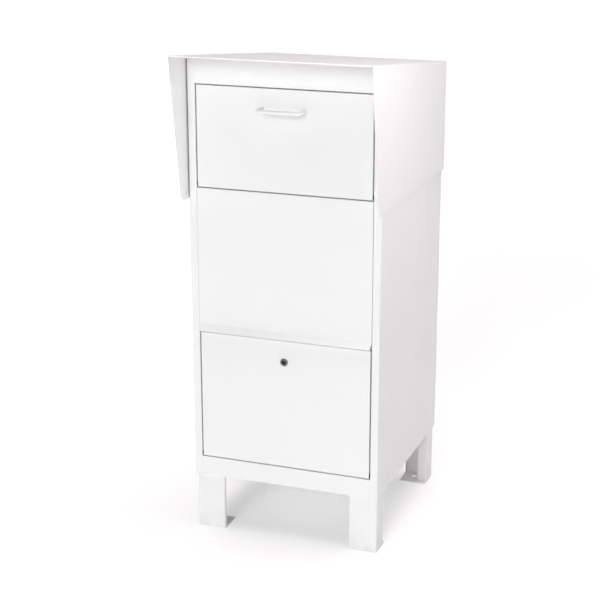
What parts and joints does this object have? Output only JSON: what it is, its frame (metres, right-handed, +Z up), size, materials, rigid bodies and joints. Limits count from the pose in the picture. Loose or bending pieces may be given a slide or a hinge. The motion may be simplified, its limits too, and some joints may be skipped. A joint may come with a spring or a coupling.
{
  "type": "parcel drop box",
  "caption": "Free-standing hooded parcel drop box: sheet-steel cabinet on bolt-down legs, with a tilting deposit hopper above and a locking bottom-hinged collection door below.",
  "frame": {"origin": "on the floor, at the centre of the four anchor holes in the foot plates, which is midway between the side panels and midway between the cabinet's front and back faces", "axes": "+Z up; the doors and the hood's overhang face -Y; +X is to the right as seen from the front"},
  "size_m": [0.539, 0.6893, 1.335],
  "materials": {
    "white_powder_coat": "satin",
    "zinc_plate": "satin",
    "nickel_plate": "polished",
    "dark_nickel": "polished",
    "black_nylon": "matte",
    "black_rubber": "matte"
  },
  "bodies": {
    "cabinet": {"left_side_panel": "white_powder_coat", "right_side_panel": "white_powder_coat", "back_panel": "white_powder_coat", "floor_pan": "white_powder_coat", "top_panel": "white_powder_coat", "top_rail": "white_powder_coat", "bottom_rail": "white_powder_coat", "middle_front_panel": "white_powder_coat", "strike_channel": "white_powder_coat", "weather_hood": "white_powder_coat", "hood_studs": "zinc_plate", "hood_spacers": "black_nylon", "hood_nuts": "zinc_plate", "anti_fishing_baffle": "white_powder_coat", "leg_front_left": "white_powder_coat", "leg_front_right": "white_powder_coat", "leg_rear_left": "white_powder_coat", "leg_rear_right": "white_powder_coat", "leg_bolts": "zinc_plate", "leg_nuts": "zinc_plate", "pivot_bolts": "zinc_plate", "pivot_nuts": "zinc_plate", "door_bumpers": "black_rubber"},
    "hopper": {"hopper_door": "white_powder_coat", "hopper_pivot_bushes": "black_nylon", "pull_handle": "white_powder_coat", "handle_screws": "zinc_plate", "chute_plate": "white_powder_coat", "left_hopper_cheek": "white_powder_coat", "right_hopper_cheek": "white_powder_coat", "cheek_rivets": "zinc_plate", "hopper_stop_studs": "zinc_plate"},
    "collection_door": {"access_door": "white_powder_coat", "access_pivot_bushes": "black_nylon", "lock_body": "nickel_plate", "lock_nut": "zinc_plate"},
    "lock": {"lock_plug": "dark_nickel", "lock_cam": "zinc_plate", "cam_screw": "zinc_plate"}
  },
  "joints": [
    {"name": "hopper_tilt", "type": "hinge", "parent": "cabinet", "child": "hopper", "pos_m": [0, -0.282, 0.9875], "axis": [1, 0, 0], "range_deg": [0, 55]},
    {"name": "collection_door_swing", "type": "hinge", "parent": "cabinet", "child": "collection_door", "pos_m": [0, -0.282, 0.226], "axis": [1, 0, 0], "range_deg": [0, 104]},
    {"name": "lock_turn", "type": "hinge", "parent": "collection_door", "child": "lock", "pos_m": [0, -0.282, 0.52], "axis": [0, -1, 0], "range_deg": [0, 90]}
  ]
}
